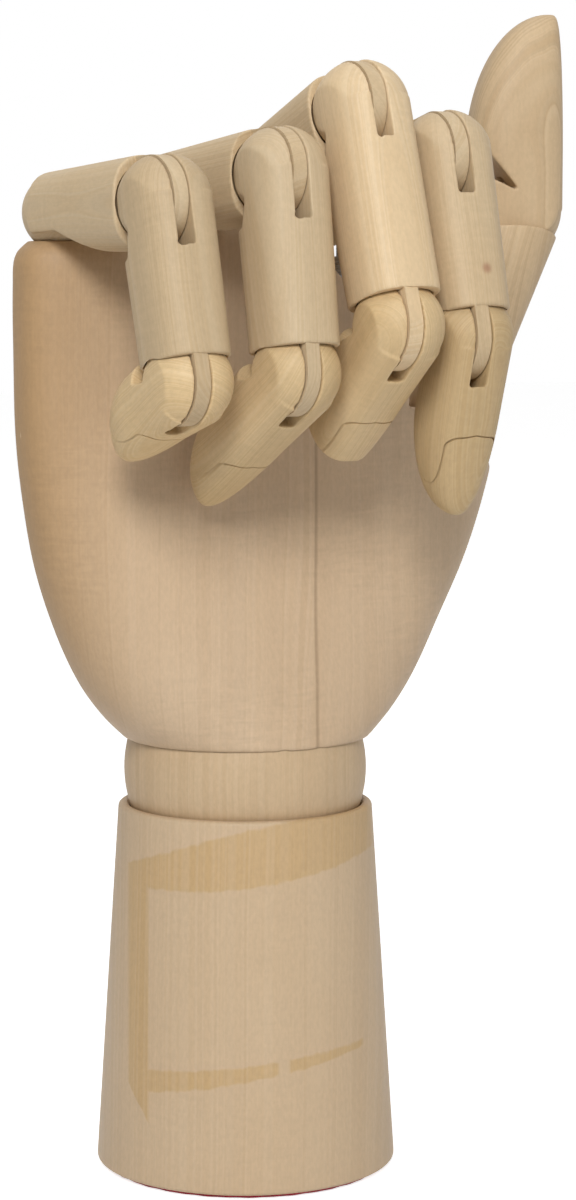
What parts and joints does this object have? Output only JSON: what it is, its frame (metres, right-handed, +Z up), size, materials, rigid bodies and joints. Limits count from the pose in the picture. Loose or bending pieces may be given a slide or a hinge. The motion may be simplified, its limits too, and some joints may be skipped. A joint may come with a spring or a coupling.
{
  "type": "jointed wooden hand mannequin",
  "caption": "Jointed wooden hand on a turned, tapered base; a right hand with the fingers curled into a loose fist and the thumb up.",
  "frame": {"origin": "centre of the felt pad's lower face, on the surface that the hand stands on", "axes": "+Z up the base and the palm, the palm of the hand faces -Y, the thumb is on +X"},
  "size_m": [0.121, 0.0915, 0.231],
  "materials": {
    "pale_wood": "satin",
    "turned_wood": "satin",
    "finger_wood": "satin",
    "red_felt": "matte",
    "spring_steel": "satin",
    "pin_steel": "satin"
  },
  "bodies": {
    "base": {"base": "pale_wood", "felt_pad": "red_felt", "base_anchor_bar": "pin_steel"},
    "wrist_turn": {"wrist_spring": "spring_steel"},
    "wrist_ball": {"wrist_ball": "turned_wood"},
    "palm": {"palm": "pale_wood", "palm_wrist_pin": "pin_steel", "finger_anchor_rod": "pin_steel", "anchor_plug": "turned_wood", "thumb_spring": "spring_steel", "thumb_anchor_pin": "pin_steel", "little_spring": "spring_steel", "ring_spring": "spring_steel", "middle_spring": "spring_steel", "index_spring": "spring_steel"},
    "little_knuckle": {"little_knuckle_pin": "pin_steel"},
    "little_proximal": {"little_proximal": "finger_wood"},
    "little_middle": {"little_middle": "finger_wood", "little_pip_pin": "pin_steel"},
    "little_tip": {"little_tip": "finger_wood", "little_dip_pin": "pin_steel"},
    "ring_knuckle": {"ring_knuckle_pin": "pin_steel"},
    "ring_proximal": {"ring_proximal": "finger_wood"},
    "ring_middle": {"ring_middle": "finger_wood", "ring_pip_pin": "pin_steel"},
    "ring_tip": {"ring_tip": "finger_wood", "ring_dip_pin": "pin_steel"},
    "middle_knuckle": {"middle_knuckle_pin": "pin_steel"},
    "middle_proximal": {"middle_proximal": "finger_wood"},
    "middle_middle": {"middle_middle": "finger_wood", "middle_pip_pin": "pin_steel"},
    "middle_tip": {"middle_tip": "finger_wood", "middle_dip_pin": "pin_steel"},
    "index_knuckle": {"index_knuckle_pin": "pin_steel"},
    "index_proximal": {"index_proximal": "finger_wood"},
    "index_middle": {"index_middle": "finger_wood", "index_pip_pin": "pin_steel"},
    "index_tip": {"index_tip": "finger_wood", "index_dip_pin": "pin_steel"},
    "thumb_root": {"thumb_root_pin": "pin_steel"},
    "thumb_base": {"thumb_base": "finger_wood"},
    "thumb_tip": {"thumb_tip": "finger_wood", "thumb_joint_pin": "pin_steel"}
  },
  "joints": [
    {"name": "wrist_turn", "type": "hinge", "parent": "base", "child": "wrist_turn", "pos_m": [0, 0, 0.0802], "axis": [0, 0, 1], "range_deg": [-60, 60], "deforming": ["wrist_spring"]},
    {"name": "wrist_side", "type": "hinge", "parent": "wrist_turn", "child": "wrist_ball", "pos_m": [0, 0, 0.0802], "axis": [0, 1, 0], "range_deg": [-17, 17], "deforming": ["wrist_spring"]},
    {"name": "wrist_nod", "type": "hinge", "parent": "wrist_ball", "child": "palm", "pos_m": [0, 0, 0.0802], "axis": [1, 0, 0], "range_deg": [-17, 17], "deforming": ["wrist_spring"]},
    {"name": "little_spread", "type": "hinge", "parent": "palm", "child": "little_knuckle", "pos_m": [-0.0392, 0, 0.1897], "axis": [0, 1, 0], "range_deg": [-9, 2], "deforming": ["little_spring"]},
    {"name": "little_knuckle", "type": "hinge", "parent": "little_knuckle", "child": "little_proximal", "pos_m": [-0.0392, 0, 0.1897], "axis": [0.9971, 0.0767, 0], "range_deg": [-88, 1], "deforming": ["little_spring"]},
    {"name": "little_second", "type": "hinge", "parent": "little_proximal", "child": "little_middle", "pos_m": [-0.03629, -0.03787, 0.19089], "axis": [0.9971, 0.0767, 0], "range_deg": [-78, 4]},
    {"name": "little_third", "type": "hinge", "parent": "little_middle", "child": "little_tip", "pos_m": [-0.03568, -0.04571, 0.15864], "axis": [0.9971, 0.0767, 0], "range_deg": [-81, 3]},
    {"name": "ring_spread", "type": "hinge", "parent": "palm", "child": "ring_knuckle", "pos_m": [-0.01905, 0, 0.1926], "axis": [0, 1, 0], "range_deg": [-3, 2], "deforming": ["ring_spring"]},
    {"name": "ring_knuckle", "type": "hinge", "parent": "ring_knuckle", "child": "ring_proximal", "pos_m": [-0.01905, 0, 0.1926], "axis": [0.9938, 0.1063, -0.033], "range_deg": [-84, 1], "deforming": ["ring_spring"]},
    {"name": "ring_second", "type": "hinge", "parent": "ring_proximal", "child": "ring_middle", "pos_m": [-0.01449, -0.0415, 0.19618], "axis": [0.9938, 0.1063, -0.033], "range_deg": [-84, 1]},
    {"name": "ring_third", "type": "hinge", "parent": "ring_middle", "child": "ring_tip", "pos_m": [-0.01498, -0.04817, 0.15999], "axis": [0.9938, 0.1063, -0.033], "range_deg": [-66, 2]},
    {"name": "middle_spread", "type": "hinge", "parent": "palm", "child": "middle_knuckle", "pos_m": [0.0011, 0, 0.1935], "axis": [0, 1, 0], "range_deg": [-2, 2], "deforming": ["middle_spring"]},
    {"name": "middle_knuckle", "type": "hinge", "parent": "middle_knuckle", "child": "middle_proximal", "pos_m": [0.0011, 0, 0.1935], "axis": [0.9988, 0.0489, 0], "range_deg": [-69, 1], "deforming": ["middle_spring"]},
    {"name": "middle_second", "type": "hinge", "parent": "middle_proximal", "child": "middle_middle", "pos_m": [0.00307, -0.04031, 0.20835], "axis": [0.9988, 0.0489, 0], "range_deg": [-92, 2]},
    {"name": "middle_third", "type": "hinge", "parent": "middle_middle", "child": "middle_tip", "pos_m": [0.00369, -0.05303, 0.16843], "axis": [0.9988, 0.0489, 0], "range_deg": [-64, 3]},
    {"name": "index_spread", "type": "hinge", "parent": "palm", "child": "index_knuckle", "pos_m": [0.02125, 0, 0.1907], "axis": [0, -1, 0], "range_deg": [-5, 2], "deforming": ["index_spring"]},
    {"name": "index_knuckle", "type": "hinge", "parent": "index_knuckle", "child": "index_proximal", "pos_m": [0.02125, 0, 0.1907], "axis": [1, -0.0087, 0], "range_deg": [-77, 1], "deforming": ["index_spring"]},
    {"name": "index_second", "type": "hinge", "parent": "index_proximal", "child": "index_middle", "pos_m": [0.02089, -0.04112, 0.19974], "axis": [1, -0.0087, 0], "range_deg": [-87, 3]},
    {"name": "index_third", "type": "hinge", "parent": "index_middle", "child": "index_tip", "pos_m": [0.02082, -0.04987, 0.16637], "axis": [1, -0.0087, 0], "range_deg": [-31, 15]},
    {"name": "thumb_turn", "type": "hinge", "parent": "palm", "child": "thumb_root", "pos_m": [0.0465, -0.001, 0.1514], "axis": [-0.7071, 0, -0.7071], "range_deg": [-30, 20], "deforming": ["thumb_spring"]},
    {"name": "thumb_swing", "type": "hinge", "parent": "thumb_root", "child": "thumb_base", "pos_m": [0.0465, -0.001, 0.1514], "axis": [0, -1, 0], "range_deg": [-35, 8], "deforming": ["thumb_spring"]},
    {"name": "thumb_joint", "type": "hinge", "parent": "thumb_base", "child": "thumb_tip", "pos_m": [0.0618, -0.001, 0.19126], "axis": [-0.309, -0.9511, 0], "range_deg": [-15, 30]}
  ]
}
